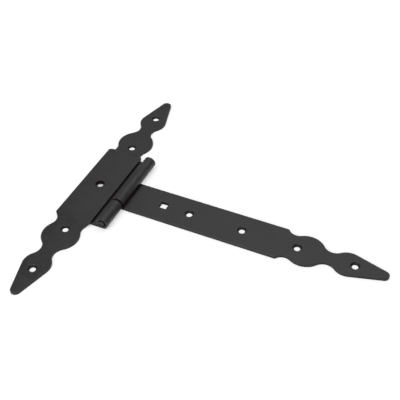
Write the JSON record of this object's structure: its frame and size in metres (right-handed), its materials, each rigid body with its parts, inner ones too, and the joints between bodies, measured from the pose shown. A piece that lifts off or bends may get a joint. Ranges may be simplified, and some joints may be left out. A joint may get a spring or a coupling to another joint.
{
  "type": "tee hinge",
  "caption": "Ornamental tee hinge: a strap with a spear-point finial swings on a pin in the rolled knuckles of a frame plate with a finial at each end.",
  "frame": {"origin": "centre between the frame plate's screw holes, under its middle one, on the back face that lies against the post or frame", "axes": "+X along the strap to its tip, +Y along the hinge pin, +Z out of the front face; modelled opened flat"},
  "size_m": [0.2859, 0.2768, 0.0112],
  "materials": {
    "satin_black_coat": "satin black powder coat on steel sheet",
    "black_pin": "satin black powder coat on steel rod"
  },
  "bodies": {
    "frame": {"cover_plate": "satin_black_coat", "knuckle_leaf": "satin_black_coat", "hinge_pin": "black_pin"},
    "strap": {"strap_leaf": "satin_black_coat"}
  },
  "joints": [
    {"name": "strap_swing", "type": "hinge", "parent": "frame", "child": "strap", "pos_m": [0.02798, 0, 0.00558], "axis": [0, -1, 0], "range_deg": [-90, 180]}
  ]
}
